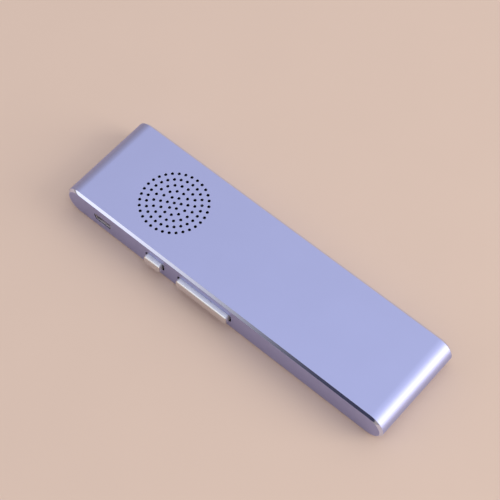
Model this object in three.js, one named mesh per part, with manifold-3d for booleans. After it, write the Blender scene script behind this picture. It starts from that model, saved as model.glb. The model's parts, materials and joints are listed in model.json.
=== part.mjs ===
// Handheld voice translator: a slim aluminium stick with a speaker grille, a socket and two side keys.
// Millimetres, +Z up. It lies on its front panel with the grille up, as it does in use on a table.
// The origin is the middle of the front panel's outer face. +X runs along the stick, away from the grille,
// and the side keys and the socket are on the -Y side.
import * as THREE from "three";
import { mergeVertices } from "three/addons/utils/BufferGeometryUtils.js";
import Module from "manifold-3d";

const wasm = await Module();
wasm.setup();

// The outside of the shell
const bodyLength = 139;
const bodyWidth = 38;
const bodyThickness = 11.8;
const edgeChamfer = 0.9;
const sideWall = 1.5;
const endWall = 1.6;
const backWall = 1.2;

// Clearances
const fitGap = 0.3; // between pieces that lie close together and never rub
const keyGap = 0.4; // above and below a side key in its slot
const keyEndGap = 0.7; // at each end of a side key in its slot
const cutOverrun = 2; // how far a cutting tool runs past the face it starts from

// The front panel and the layers behind it
const panelEndMargin = 8.5; // from the panel's edge to the shell's end
const panelSideMargin = 3;
const panelThickness = 1;
const panelCorner = 4;
const adhesiveThickness = 0.2;
const adhesiveWidth = 1.6;
const frameHeight = 2;
const frameBorder = 2.2;
const frameRib = 1.6;
const boardThickness = 1;
const boardInset = 0.4; // from the frame's edge to the board's edge, all round

// The speaker grille: one hole in the middle and rings of holes round it
const grilleFromEnd = 33.05;
const grilleHoleDiameter = 1.1;
const grilleRingStep = 2.39;
const ringHoleCounts = [1, 6, 12, 18, 26, 32];
const ringTurnShares = [0, 0.5, 0, 0.5, 0.5, 0]; // of the angle between two holes of the ring

// The charging socket
const socketFromEnd = 16.8;
const socketWidth = 7.5;
const socketHeight = 2.8;
const socketDepth = 5;
const socketRecess = 0.25; // from the side face back to the socket's rim
const socketSheet = 0.25;
const socketTaper = 0.7; // how much narrower the socket's low side is at each end
const tongueThickness = 0.6;
const tongueWidth = 3.9;
const tongueRecess = 0.9;
const tongueBlock = 1.4;

// The side keys
const powerKeyFromEnd = 41.1;
const powerKeyLength = 7.1;
const powerKeyTravel = 0.3;
const rockerFromEnd = 63.3;
const rockerLength = 22.4;
const sideKeyHeight = 3.8;
const sideKeyStandOut = 1.9;
const sideKeyCorner = 0.5;
const sideKeyChamfer = 0.3;
const keyFlangeLap = 0.7; // how far a key's flange reaches past its slot
const keyFlangeThickness = 0.7;
const rockerRib = 0.6; // radius of the rib that the rocker tips on
const rockerPostWidth = 2.4;
const rockerPostDepth = 1.6;

// The side switches
const sideSwitchWidth = 4.6;
const sideSwitchDepth = 2.4;
const sideSwitchHeight = 3.3;
const sidePlungerWidth = 1.8;
const sidePlungerHeight = 1;
const sidePlungerLength = 1.3;
const sidePlungerReach = 0.6; // how far a plunger stands inside its switch
const volumeSwitchSpacing = 14;

// The round talk keys of the front
const talkKeyFromEnd = 31.5; // from the shell's far end to the nearer key's middle
const talkKeySpacing = 24;
const talkKeyDiameter = 13;
const talkKeySink = 0.2; // how far the key's face lies behind the panel's face
const talkKeyDish = 0.25;
const talkKeyFlangeLap = 0.9;
const talkKeyFlangeThickness = 0.6;
const talkKeyFlangeGap = 0.1;
const talkSwitchWidth = 4.2;
const talkSwitchHeight = 0.9;
const talkPlungerDiameter = 1.8;
const talkPlungerReach = 0.2;
const talkSwitchFloor = 0.15;

// Screws and the pillars that take them
const pillarDiameter = 3.6;
const pillarFromEnd = 9;
const pillarFromSide = 6;
const screwShank = 1.2;
const screwHead = 2.4;
const screwHeadHeight = 0.6;
const screwBite = 3; // how deep a screw reaches into its pillar
const screwSlotWidth = 0.35;

// The battery
const batteryFromEnd = 14.5;
const batterySideGap = 1.2; // from the battery to the side switches
const chipBay = 17; // from the middle pillars to the battery, room for the chips
const batteryTopGap = 0.5;
const batteryPadThickness = 0.4;
const batteryPadInset = 3;
const batteryEdgeRadius = 1.6;
const batteryLipLength = 2.4;
const batteryLipThickness = 1;
const leadDiameter = 0.9;
const leadSpacing = 1.5;
const leadReach = 3; // how far the connector lies from the battery
const connectorLength = 3.2;
const connectorWidth = 4.4;
const connectorHeight = 2.6;

// The speaker
const speakerSideMargin = 5.5; // from the shell's side to the speaker's rim
const speakerFloorGap = 0.3;
const gasketThickness = 0.5;
const meshThickness = 0.15;
const basketWall = 0.9;
const basketFlange = 1.8;
const basketFloor = 0.6;
const yokeWall = 1;
const magnetDiameter = 10.6;
const topPlateThickness = 0.7;
const coilWall = 0.3;
const coilHeight = 1.6;
const coneThickness = 0.3;
const coneDomeRise = 0.5;
const coneTravel = 0.25;
const surroundWidth = 2;
const surroundThickness = 0.3;
const contactWidth = 1;
const contactThickness = 0.2;

// Small parts of the board
const microphoneFromEdge = 6; // of the panel
const microphoneLength = 3.6;
const microphoneWidth = 2.8;
const microphoneHeight = 1;
const soundHoleDiameter = 1;
const bootDiameter = 4.4;
const lampFromEdge = 6; // of the panel
const lampLength = 1.6;
const lampWidth = 1;
const lampHeight = 0.7;
const lightPipeDiameter = 1.4;
const shieldSide = 10.4;
const shieldHeight = 1.8;
const shieldSheet = 0.2;
const processorSide = 7;
const processorHeight = 0.9;
const memoryLength = 5;
const memoryWidth = 4;
const memoryHeight = 0.8;
const powerChipSide = 4;
const powerChipHeight = 0.8;
const crystalLength = 3.2;
const crystalWidth = 2.5;
const crystalHeight = 0.7;
const antennaLength = 7;
const antennaWidth = 2;
const antennaHeight = 1.1;
const chipSpacing = 1.2; // between neighbouring chips

// Smoothness: how many straight runs stand for a quarter or a full turn
const endArcSteps = 10;
const cornerSteps = 3;
const holeSides = 10;
const roundSides = 28;
const smallRoundSides = 12;

// Levels, from the front panel's face up to the back
const panelBack = panelThickness;
const frameBottom = panelBack + adhesiveThickness;
const boardBottom = frameBottom + frameHeight;
const boardTop = boardBottom + boardThickness;
const backInside = bodyThickness - backWall;
const keyLevel = bodyThickness / 2;

// Places along and across
const nearEnd = -bodyLength / 2;
const farEnd = bodyLength / 2;
const keySide = -bodyWidth / 2;
const keySideInside = keySide + sideWall;
const grilleX = nearEnd + grilleFromEnd;
const socketX = nearEnd + socketFromEnd;
const powerKeyX = nearEnd + powerKeyFromEnd;
const rockerX = nearEnd + rockerFromEnd;
const panelLength = bodyLength - 2 * panelEndMargin;
const panelWidth = bodyWidth - 2 * panelSideMargin;
const keyFlangeFront = keySideInside + fitGap;
const keyFlangeBack = keyFlangeFront + keyFlangeThickness;
const windowLength = panelLength + 2 * fitGap;
const windowWidth = panelWidth + 2 * fitGap;
const boardLength = panelLength - 2 * boardInset;
const boardWidth = panelWidth - 2 * boardInset;
const sideSwitchFront = keyFlangeBack + sidePlungerLength - sidePlungerReach;
const talkKeyPlaces = [farEnd - talkKeyFromEnd - talkKeySpacing, farEnd - talkKeyFromEnd];
const lampX = panelLength / 2 - lampFromEdge;
const microphoneX = microphoneFromEdge - panelLength / 2;
const pillarBetweenKeysX = (powerKeyX + powerKeyLength / 2 + rockerX - rockerLength / 2) / 2;
const batteryRight = farEnd - batteryFromEnd;
const batteryLeft = pillarBetweenKeysX + pillarDiameter / 2 + chipBay;
const batteryLength = batteryRight - batteryLeft;
const batteryWidth = -2 * (sideSwitchFront + sideSwitchDepth + batterySideGap);
const pillarY = bodyWidth / 2 - pillarFromSide;
const pillarPlaces = [nearEnd + pillarFromEnd, pillarBetweenKeysX, farEnd - pillarFromEnd].flatMap((x) => [
  [x, -pillarY],
  [x, pillarY],
]);

// Materials
function finish(color, roughness, metalness) {
  return new THREE.MeshStandardMaterial({ color, roughness, metalness });
}
const anodised = finish(0xaab0de, 0.42, 1);
const polished = finish(0xd6d8e6, 0.15, 1);
const panelGloss = finish(0x101114, 0.08, 0);
const blackPlastic = finish(0x1c1d20, 0.55, 0);
const whitePlastic = finish(0xe9e9e4, 0.5, 0);
const boardGreen = finish(0x14502f, 0.45, 0);
const chipBlack = finish(0x18191b, 0.6, 0);
const steel = finish(0xb9bcc0, 0.3, 1);
const copper = finish(0xb46a3c, 0.35, 1);
const rubber = finish(0x232325, 0.85, 0);
const cellFoil = finish(0xa9adb3, 0.35, 1);
const magnetIron = finish(0x5b5d62, 0.4, 1);
const clearPlastic = finish(0xf4f7fb, 0.1, 0);
const redLead = finish(0xa82018, 0.5, 0);

// Turns a closed three.js geometry into a solid that can be cut and joined.
function solid(geometry) {
  const plain = geometry.clone();
  plain.deleteAttribute("normal");
  plain.deleteAttribute("uv");
  const merged = mergeVertices(plain, 1e-4);
  const triVerts = new Uint32Array(merged.index.array);
  const vertProperties = new Float32Array(merged.attributes.position.array);
  return new wasm.Manifold(new wasm.Mesh({ numProp: 3, vertProperties, triVerts }));
}

function cut(base, ...tools) {
  return tools.reduce((left, tool) => left.subtract(tool), base);
}

function join(first, ...others) {
  return others.reduce((sum, other) => sum.add(other), first);
}

// Makes the named mesh of one finished solid.
function piece(name, shape, material) {
  const made = shape.getMesh();
  const geometry = new THREE.BufferGeometry();
  geometry.setAttribute("position", new THREE.BufferAttribute(made.vertProperties, 3));
  geometry.setIndex(new THREE.BufferAttribute(made.triVerts, 1));
  geometry.computeVertexNormals();
  const mesh = new THREE.Mesh(geometry, material);
  mesh.name = name;
  return mesh;
}

// Outlines, all centred on their own middle
function roundedOutline(length, width, corner) {
  const x = length / 2;
  const y = width / 2;
  const r = Math.min(corner, x, y);
  const shape = new THREE.Shape();
  shape.absarc(x - r, y - r, r, 0, Math.PI / 2);
  shape.absarc(r - x, y - r, r, Math.PI / 2, Math.PI);
  shape.absarc(r - x, r - y, r, Math.PI, Math.PI * 1.5);
  shape.absarc(x - r, r - y, r, Math.PI * 1.5, Math.PI * 2);
  return shape;
}

function stadiumOutline(length, height) {
  const r = height / 2;
  const shape = new THREE.Shape();
  shape.absarc(length / 2 - r, 0, r, -Math.PI / 2, Math.PI / 2);
  shape.absarc(r - length / 2, 0, r, Math.PI / 2, Math.PI * 1.5);
  return shape;
}

// The charging socket's outline: a flat oblong whose low side is narrower
function socketOutline(width, height, taper) {
  const x = width / 2;
  const y = height / 2;
  const shape = new THREE.Shape();
  shape.moveTo(-x, y);
  shape.lineTo(-x, y - height / 2);
  shape.lineTo(taper - x, -y);
  shape.lineTo(x - taper, -y);
  shape.lineTo(x, y - height / 2);
  shape.lineTo(x, y);
  return shape;
}

// Extrudes an outline up from level z.
function slab(outline, thickness, x, y, z, steps = cornerSteps) {
  const geometry = new THREE.ExtrudeGeometry(outline, {
    depth: thickness,
    bevelEnabled: false,
    curveSegments: steps,
  });
  geometry.translate(x, y, z);
  return solid(geometry);
}

// Extrudes an outline, drawn in X and Z, along Y from yLow to yHigh; a chamfer stays inside that length.
function sideways(outline, x, z, yLow, yHigh, steps = cornerSteps, chamfer = 0) {
  const geometry = new THREE.ExtrudeGeometry(outline, {
    depth: yHigh - yLow - 2 * chamfer,
    bevelEnabled: chamfer > 0,
    bevelThickness: chamfer,
    bevelSize: chamfer,
    bevelOffset: -chamfer,
    bevelSegments: 1,
    curveSegments: steps,
  });
  geometry.translate(0, 0, chamfer);
  geometry.rotateX(Math.PI / 2);
  geometry.translate(x, yHigh, z);
  return solid(geometry);
}

function block(lengthX, widthY, heightZ, x, y, z) {
  const geometry = new THREE.BoxGeometry(lengthX, widthY, heightZ);
  geometry.translate(x, y, z + heightZ / 2);
  return solid(geometry);
}

function disc(radius, height, x, y, z, sides = roundSides) {
  const geometry = new THREE.CylinderGeometry(radius, radius, height, sides);
  geometry.rotateX(Math.PI / 2);
  geometry.translate(x, y, z + height / 2);
  return solid(geometry);
}

// Turns a profile of [radius, level] points round an upright axis; the points climb on the outside.
function turned(profile, x, y, sides = roundSides) {
  const points = profile.map(([radius, level]) => new THREE.Vector2(radius, level));
  const geometry = new THREE.LatheGeometry(points, sides);
  geometry.rotateX(Math.PI / 2);
  geometry.translate(x, y, 0);
  return solid(geometry);
}

// A ring with a square section: its profile closes on itself.
function ring(outerRadius, innerRadius, low, high, x, y, sides = roundSides) {
  const profile = [
    [outerRadius, low],
    [outerRadius, high],
    [innerRadius, high],
    [innerRadius, low],
    [outerRadius, low],
  ];
  return turned(profile, x, y, sides);
}

// The shell
function grilleHoles() {
  const holes = [];
  ringHoleCounts.forEach((count, index) => {
    const step = (Math.PI * 2) / count;
    for (let k = 0; k < count; k++) {
      const angle = (k + ringTurnShares[index]) * step;
      const x = grilleX + index * grilleRingStep * Math.cos(angle);
      const y = index * grilleRingStep * Math.sin(angle);
      const depth = backWall + 2 * cutOverrun;
      holes.push(disc(grilleHoleDiameter / 2, depth, x, y, backInside - cutOverrun, holeSides));
    }
  });
  return join(...holes);
}

function sideSlot(outline, x, z) {
  return sideways(outline, x, z, keySide - cutOverrun, keySideInside + fitGap);
}

function keySlot(x, length) {
  const outline = roundedOutline(
    length + 2 * keyEndGap,
    sideKeyHeight + 2 * keyGap,
    sideKeyCorner + keyGap,
  );
  return sideSlot(outline, x, keyLevel);
}

function socketSlot() {
  const outline = socketOutline(socketWidth + 2 * fitGap, socketHeight + 2 * fitGap, socketTaper);
  return sideSlot(outline, socketX, socketLevel());
}

function socketLevel() {
  return boardTop + socketHeight / 2;
}

function pillar([x, y]) {
  const height = backInside - boardTop + fitGap;
  const post = disc(pillarDiameter / 2, height, x, y, boardTop, smallRoundSides);
  const depth = screwBite + fitGap + cutOverrun;
  const hole = disc(screwShank / 2 + fitGap, depth, x, y, boardTop - cutOverrun, smallRoundSides);
  return cut(post, hole);
}

function backHousing() {
  const half = bodyWidth / 2;
  const outer = sideways(
    stadiumOutline(bodyLength, bodyThickness),
    0,
    bodyThickness / 2,
    -half,
    half,
    endArcSteps,
    edgeChamfer,
  );
  const hollowHeight = backInside - frameBottom;
  const hollow = sideways(
    stadiumOutline(bodyLength - 2 * endWall, hollowHeight),
    0,
    frameBottom + hollowHeight / 2,
    keySideInside,
    half - sideWall,
    endArcSteps,
  );
  const opening = roundedOutline(windowLength, windowWidth, panelCorner + fitGap);
  const window = slab(opening, frameBottom + fitGap + cutOverrun, 0, 0, -cutOverrun);
  const slots = [keySlot(powerKeyX, powerKeyLength), keySlot(rockerX, rockerLength), socketSlot()];
  const shell = cut(outer, hollow, window, ...slots, grilleHoles());
  return join(shell, ...pillarPlaces.map(pillar));
}

// The front panel and what bonds and carries it
function frontPanel() {
  const plate = slab(roundedOutline(panelLength, panelWidth, panelCorner), panelThickness, 0, 0, 0);
  const through = panelThickness + 2 * cutOverrun;
  const keyHole = (x) => disc(talkKeyDiameter / 2 + fitGap, through, x, 0, -cutOverrun);
  const lampHole = disc(lightPipeDiameter / 2 + fitGap, through, lampX, 0, -cutOverrun, smallRoundSides);
  const soundHole = disc(soundHoleDiameter / 2, through, microphoneX, 0, -cutOverrun, smallRoundSides);
  return cut(plate, ...talkKeyPlaces.map(keyHole), lampHole, soundHole);
}

function panelAdhesive() {
  const outer = roundedOutline(panelLength, panelWidth, panelCorner);
  const inner = roundedOutline(
    panelLength - 2 * adhesiveWidth,
    panelWidth - 2 * adhesiveWidth,
    panelCorner - adhesiveWidth,
  );
  return cut(
    slab(outer, adhesiveThickness, 0, 0, panelBack),
    slab(inner, adhesiveThickness + 2 * cutOverrun, 0, 0, panelBack - cutOverrun),
  );
}

// A round seat in the frame, left open through the middle.
function frameEyelet(x, innerRadius, sides) {
  const outer = disc(innerRadius + frameRib, frameHeight, x, 0, frameBottom, sides);
  const through = frameHeight + 2 * cutOverrun;
  const inner = disc(innerRadius, through, x, 0, frameBottom - cutOverrun, sides);
  return [outer, inner];
}

// The radius of a round hole that clears a square-cornered piece and a round one.
function clearRadius(length, width, diameter) {
  return Math.max(Math.hypot(length, width), diameter) / 2 + fitGap;
}

function innerFrame() {
  const plate = slab(roundedOutline(panelLength, panelWidth, panelCorner), frameHeight, 0, 0, frameBottom);
  const through = frameHeight + 2 * cutOverrun;
  const pocketLength = panelLength - 2 * frameBorder;
  const pocketWidth = panelWidth - 2 * frameBorder;
  const border = cut(plate, block(pocketLength, pocketWidth, through, 0, 0, frameBottom - cutOverrun));
  const spine = block(panelLength - frameBorder, frameRib, frameHeight, 0, 0, frameBottom);
  const keyRadius = talkKeyDiameter / 2 + talkKeyFlangeLap + fitGap;
  const lampRadius = clearRadius(lampLength, lampWidth, lightPipeDiameter);
  const soundRadius = clearRadius(microphoneLength, microphoneWidth, bootDiameter);
  const seats = [
    ...talkKeyPlaces.map((x) => frameEyelet(x, keyRadius, roundSides)),
    frameEyelet(lampX, lampRadius, smallRoundSides),
    frameEyelet(microphoneX, soundRadius, smallRoundSides),
  ];
  const cross = (x) => block(frameRib, panelWidth - frameBorder, frameHeight, x, 0, frameBottom);
  const ribs = [pillarBetweenKeysX, ...talkKeyPlaces].map(cross);
  const lug = ([x, y]) => disc(pillarDiameter / 2, frameHeight, x, y, frameBottom, smallRoundSides);
  const lugs = pillarPlaces.map(lug);
  const frame = join(border, spine, ...ribs, ...lugs, ...seats.map(([outer]) => outer), rockerPost());
  return cut(frame, ...seats.map(([, inner]) => inner), ...pillarPlaces.map(screwWay));
}

// The post that the volume rocker tips against stands on the frame and passes the board in a notch.
function rockerPost() {
  const height = keyLevel + sideKeyHeight / 2 - frameBottom;
  return block(rockerPostWidth, rockerPostDepth, height, rockerX, rockerPostY(), frameBottom);
}

function rockerPostY() {
  return keyFlangeBack + rockerRib + fitGap + rockerPostDepth / 2;
}

// The clear way for a screw through the frame and the board, with a seat for its head.
function screwWay([x, y]) {
  const way = frameHeight + boardThickness + 2 * cutOverrun;
  const shank = disc(screwShank / 2 + fitGap, way, x, y, frameBottom - cutOverrun, smallRoundSides);
  const seat = screwHeadHeight + cutOverrun;
  const head = disc(screwHead / 2 + fitGap, seat, x, y, frameBottom - cutOverrun, smallRoundSides);
  return join(shank, head);
}

function frameScrew([x, y]) {
  const low = frameBottom;
  const shoulder = low + screwHeadHeight;
  const tip = boardTop + screwBite;
  const profile = [
    [0, low],
    [screwHead / 2, low],
    [screwHead / 2, shoulder],
    [screwShank / 2, shoulder],
    [screwShank / 2, tip - screwShank / 2],
    [0, tip],
  ];
  const slotDepth = screwHeadHeight / 2;
  const arm = screwHead / 2;
  const bar = (wide, deep) => block(wide, deep, slotDepth + cutOverrun, x, y, low - cutOverrun);
  return cut(turned(profile, x, y, smallRoundSides), bar(arm, screwSlotWidth), bar(screwSlotWidth, arm));
}

// The board and what is soldered on it
function mainBoard() {
  const outline = roundedOutline(boardLength, boardWidth, panelCorner - boardInset);
  const board = slab(outline, boardThickness, 0, 0, boardBottom);
  const notchInside = rockerPostY() + rockerPostDepth / 2 + fitGap;
  const notchDepth = notchInside + boardWidth / 2 + cutOverrun;
  const notch = block(
    rockerPostWidth + 2 * fitGap,
    notchDepth,
    boardThickness + 2 * cutOverrun,
    rockerX,
    notchInside - notchDepth / 2,
    boardBottom - cutOverrun,
  );
  return cut(board, notch, ...pillarPlaces.map(screwWay));
}

function usbShell() {
  const low = keySide + socketRecess;
  const high = low + socketDepth;
  const level = socketLevel();
  const rim = socketOutline(socketWidth, socketHeight, socketTaper);
  const bore = socketOutline(socketWidth - 2 * socketSheet, socketHeight - 2 * socketSheet, socketTaper);
  const outer = sideways(rim, socketX, level, low, high);
  return cut(outer, sideways(bore, socketX, level, low - cutOverrun, high + cutOverrun));
}

function usbTongue() {
  const back = keySide + socketRecess + socketDepth;
  const front = keySide + socketRecess + tongueRecess;
  const inset = 2 * (socketSheet + fitGap);
  const outline = socketOutline(socketWidth - inset, socketHeight - inset, socketTaper);
  const plug = sideways(outline, socketX, socketLevel(), back - tongueBlock, back);
  const length = back - front;
  const level = socketLevel() + socketSheet / 2;
  const tongue = block(tongueWidth, length, tongueThickness, socketX, front + length / 2, level);
  return join(plug, tongue);
}

function sideSwitchBody(x) {
  const y = sideSwitchFront + sideSwitchDepth / 2;
  const body = block(sideSwitchWidth, sideSwitchDepth, sideSwitchHeight, x, y, boardTop);
  const depth = sidePlungerReach + powerKeyTravel + fitGap;
  const mouth = block(
    sidePlungerWidth + 2 * fitGap,
    depth + cutOverrun,
    sidePlungerHeight + 2 * fitGap,
    x,
    sideSwitchFront + depth / 2 - cutOverrun / 2,
    keyLevel - sidePlungerHeight / 2 - fitGap,
  );
  return cut(body, mouth);
}

function sideSwitchPlunger(x) {
  const y = keyFlangeBack + sidePlungerLength / 2;
  return block(
    sidePlungerWidth,
    sidePlungerLength,
    sidePlungerHeight,
    x,
    y,
    keyLevel - sidePlungerHeight / 2,
  );
}

function talkSwitchBody(x) {
  const low = boardBottom - talkSwitchHeight;
  const body = block(talkSwitchWidth, talkSwitchWidth, talkSwitchHeight, x, 0, low);
  const depth = talkSwitchHeight - talkSwitchFloor + cutOverrun;
  return cut(body, disc(talkPlungerDiameter / 2 + fitGap, depth, x, 0, low - cutOverrun, smallRoundSides));
}

function talkKeyBack() {
  return panelBack + talkKeyFlangeGap + talkKeyFlangeThickness;
}

function talkSwitchPlunger(x) {
  const top = boardBottom - talkSwitchHeight + talkPlungerReach;
  return disc(talkPlungerDiameter / 2, top - talkKeyBack(), x, 0, talkKeyBack(), smallRoundSides);
}

function microphoneCan() {
  const low = boardBottom - microphoneHeight;
  return block(microphoneLength, microphoneWidth, microphoneHeight, microphoneX, 0, low);
}

function microphoneBoot() {
  const high = boardBottom - microphoneHeight;
  return ring(bootDiameter / 2, soundHoleDiameter / 2, panelBack, high, microphoneX, 0, smallRoundSides);
}

function statusLamp() {
  return block(lampLength, lampWidth, lampHeight, lampX, 0, boardBottom - lampHeight);
}

function lightPipe() {
  const top = boardBottom - lampHeight;
  return disc(lightPipeDiameter / 2, top - talkKeySink, lampX, 0, talkKeySink, smallRoundSides);
}

// The shield stands between the speaker and the battery; the memory chip lies beside it.
const connectorX = batteryLeft - leadReach - connectorLength / 2;
const shieldX = connectorX + connectorLength / 2 - shieldSide / 2;
const shieldY = shieldSide / 2 + chipSpacing;

function radioShield() {
  const can = block(shieldSide, shieldSide, shieldHeight, shieldX, shieldY, boardTop);
  const inside = shieldSide - 2 * shieldSheet;
  const hollow = shieldHeight - shieldSheet + cutOverrun;
  return cut(can, block(inside, inside, hollow, shieldX, shieldY, boardTop - cutOverrun));
}

function processor() {
  return block(processorSide, processorSide, processorHeight, shieldX, shieldY, boardTop);
}

function memoryChip() {
  const x = connectorX - connectorLength / 2 - chipSpacing - memoryLength / 2;
  return block(memoryLength, memoryWidth, memoryHeight, x, -memoryWidth / 2 - chipSpacing, boardTop);
}

function powerChip() {
  const y = powerChipSide / 2 + chipSpacing;
  return block(powerChipSide, powerChipSide, powerChipHeight, socketX, y, boardTop);
}

function crystal() {
  const y = powerChipSide + 2 * chipSpacing + crystalWidth / 2;
  return block(crystalLength, crystalWidth, crystalHeight, socketX, y, boardTop);
}

function antenna() {
  const x = batteryRight + (boardLength / 2 - batteryRight) / 2;
  return block(antennaWidth, antennaLength, antennaHeight, x, 0, boardTop);
}

// The battery
function batteryCell() {
  const low = boardTop + batteryPadThickness;
  const height = backInside - batteryTopGap - low;
  const outline = roundedOutline(batteryWidth, height, batteryEdgeRadius);
  const geometry = new THREE.ExtrudeGeometry(outline, {
    depth: batteryLength - batteryLipLength,
    bevelEnabled: false,
    curveSegments: cornerSteps,
  });
  geometry.rotateX(Math.PI / 2);
  geometry.rotateZ(Math.PI / 2);
  geometry.translate(batteryLeft + batteryLipLength, 0, low + height / 2);
  const lip = block(
    batteryLipLength + fitGap,
    batteryWidth - 2 * batteryEdgeRadius,
    batteryLipThickness,
    batteryLeft + (batteryLipLength + fitGap) / 2,
    0,
    batteryMiddle() - batteryLipThickness / 2,
  );
  return join(solid(geometry), lip);
}

function batteryMiddle() {
  return (boardTop + batteryPadThickness + backInside - batteryTopGap) / 2;
}

function batteryPad() {
  const length = batteryLength - batteryLipLength - 2 * batteryPadInset;
  const width = batteryWidth - 2 * batteryPadInset;
  const x = batteryRight - batteryPadInset - length / 2;
  return slab(roundedOutline(length, width, batteryPadInset), batteryPadThickness, x, 0, boardTop);
}

function batteryConnector() {
  const y = -connectorWidth / 2 - chipSpacing;
  return block(connectorLength, connectorWidth, connectorHeight, connectorX, y, boardTop);
}

// A lead leaves the cell's lip level, dips and enters the connector's side.
function batteryLead(side) {
  const y = -connectorWidth / 2 - chipSpacing + (side * leadSpacing) / 2;
  const start = batteryLeft - fitGap;
  const end = connectorX + connectorLength / 2 + fitGap;
  const high = batteryMiddle();
  const low = boardTop + connectorHeight / 2;
  const middle = (start + end) / 2;
  const path = new THREE.CubicBezierCurve3(
    new THREE.Vector3(start, y, high),
    new THREE.Vector3(middle, y, high),
    new THREE.Vector3(middle, y, low),
    new THREE.Vector3(end, y, low),
  );
  const section = new THREE.Shape();
  section.absarc(0, 0, leadDiameter / 2, 0, Math.PI * 2);
  return solid(new THREE.ExtrudeGeometry(section, { steps: 8, extrudePath: path, curveSegments: 4 }));
}

// The side keys
function sideKeyCap(x, length) {
  const outline = roundedOutline(length, sideKeyHeight, sideKeyCorner);
  const cap = sideways(
    outline,
    x,
    keyLevel,
    keySide - sideKeyStandOut,
    keyFlangeFront + keyFlangeThickness / 2,
    cornerSteps,
    sideKeyChamfer,
  );
  const flange = roundedOutline(
    length + 2 * (keyEndGap + keyFlangeLap),
    sideKeyHeight + 2 * (keyGap + keyFlangeLap / 2),
    sideKeyCorner + keyGap,
  );
  return join(cap, sideways(flange, x, keyLevel, keyFlangeFront, keyFlangeBack));
}

function volumeRocker() {
  const rib = new THREE.CylinderGeometry(rockerRib, rockerRib, sideKeyHeight, smallRoundSides);
  rib.rotateX(Math.PI / 2);
  rib.translate(rockerX, keyFlangeBack, keyLevel);
  return join(sideKeyCap(rockerX, rockerLength), solid(rib));
}

// The round talk keys, lightly dished, with a flange behind the panel
function talkKey(x) {
  const rim = talkKeyDiameter / 2;
  const flange = rim + talkKeyFlangeLap;
  const flangeLow = panelBack + talkKeyFlangeGap;
  const profile = [
    [0, talkKeySink + talkKeyDish],
    [rim / 2, talkKeySink + talkKeyDish * (3 / 4)],
    [rim - talkKeyDish * 2, talkKeySink],
    [rim - talkKeyDish, talkKeySink],
    [rim, talkKeySink + talkKeyDish],
    [rim, flangeLow],
    [flange, flangeLow],
    [flange, talkKeyBack()],
    [0, talkKeyBack()],
  ];
  return turned(profile, x, 0);
}

// The speaker, from the back wall down: mesh, gasket, basket with cone, coil, top plate, magnet and yoke
const gasketBottom = backInside - meshThickness - gasketThickness;
const speakerBottom = boardTop + speakerFloorGap;
const speakerRadius = bodyWidth / 2 - speakerSideMargin;
const yokeFloorTop = speakerBottom + yokeWall;
const coneOuter = speakerRadius - basketFlange - surroundWidth;
const coneLevel = gasketBottom - coneDomeRise - coneTravel - 2 * fitGap;
const coilRadius = magnetDiameter / 2 + fitGap + coilWall;
const yokeRadius = coilRadius + fitGap + yokeWall;
const topPlateTop = coneLevel - coneThickness - coneTravel - fitGap;

function dustMesh() {
  return disc(speakerRadius, meshThickness, grilleX, 0, backInside - meshThickness);
}

function speakerGasket() {
  const high = gasketBottom + gasketThickness;
  return ring(speakerRadius, speakerRadius - basketFlange, gasketBottom, high, grilleX, 0);
}

function speakerBasket() {
  const flangeLow = gasketBottom - basketWall;
  const seat = yokeRadius + fitGap;
  const rim = speakerRadius - basketFlange;
  const profile = [
    [seat, speakerBottom],
    [seat + basketWall, speakerBottom],
    [rim + basketWall, topPlateTop - basketWall],
    [rim + basketWall, flangeLow],
    [speakerRadius, flangeLow],
    [speakerRadius, gasketBottom],
    [rim, gasketBottom],
    [rim, topPlateTop],
    [seat, speakerBottom + basketFloor],
    [seat, speakerBottom],
  ];
  return turned(profile, grilleX, 0);
}

function speakerYoke() {
  const inner = yokeRadius - yokeWall;
  const profile = [
    [0, speakerBottom],
    [yokeRadius, speakerBottom],
    [yokeRadius, topPlateTop],
    [inner, topPlateTop],
    [inner, yokeFloorTop],
    [0, yokeFloorTop],
  ];
  return turned(profile, grilleX, 0);
}

function speakerMagnet() {
  const height = topPlateTop - topPlateThickness - yokeFloorTop;
  return disc(magnetDiameter / 2, height, grilleX, 0, yokeFloorTop);
}

function speakerTopPlate() {
  return disc(magnetDiameter / 2, topPlateThickness, grilleX, 0, topPlateTop - topPlateThickness);
}

function voiceCoil() {
  const top = coneLevel - coneThickness;
  return ring(coilRadius, coilRadius - coilWall, top - coilHeight, top, grilleX, 0);
}

// A shallow dome in the middle of a flat ring
function speakerCone() {
  const low = coneLevel - coneThickness;
  const half = coilRadius / 2;
  const rise = coneDomeRise;
  const profile = [
    [0, low + rise],
    [half, low + rise * (3 / 4)],
    [coilRadius, low],
    [coneOuter, low],
    [coneOuter, coneLevel],
    [coilRadius, coneLevel],
    [half, coneLevel + rise * (3 / 4)],
    [0, coneLevel + rise],
  ];
  return turned(profile, grilleX, 0);
}

// The soft roll between the cone's edge and the basket's flange
function speakerSurround() {
  const inner = coneOuter + fitGap;
  const outer = speakerRadius - basketFlange - fitGap;
  const middle = (inner + outer) / 2;
  const low = coneLevel - coneThickness;
  const rise = surroundThickness * 2;
  const profile = [
    [inner, low],
    [middle, low + rise],
    [outer, low],
    [outer, low + surroundThickness],
    [middle, low + rise + surroundThickness],
    [inner, low + surroundThickness],
    [inner, low],
  ];
  return turned(profile, grilleX, 0);
}

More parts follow.
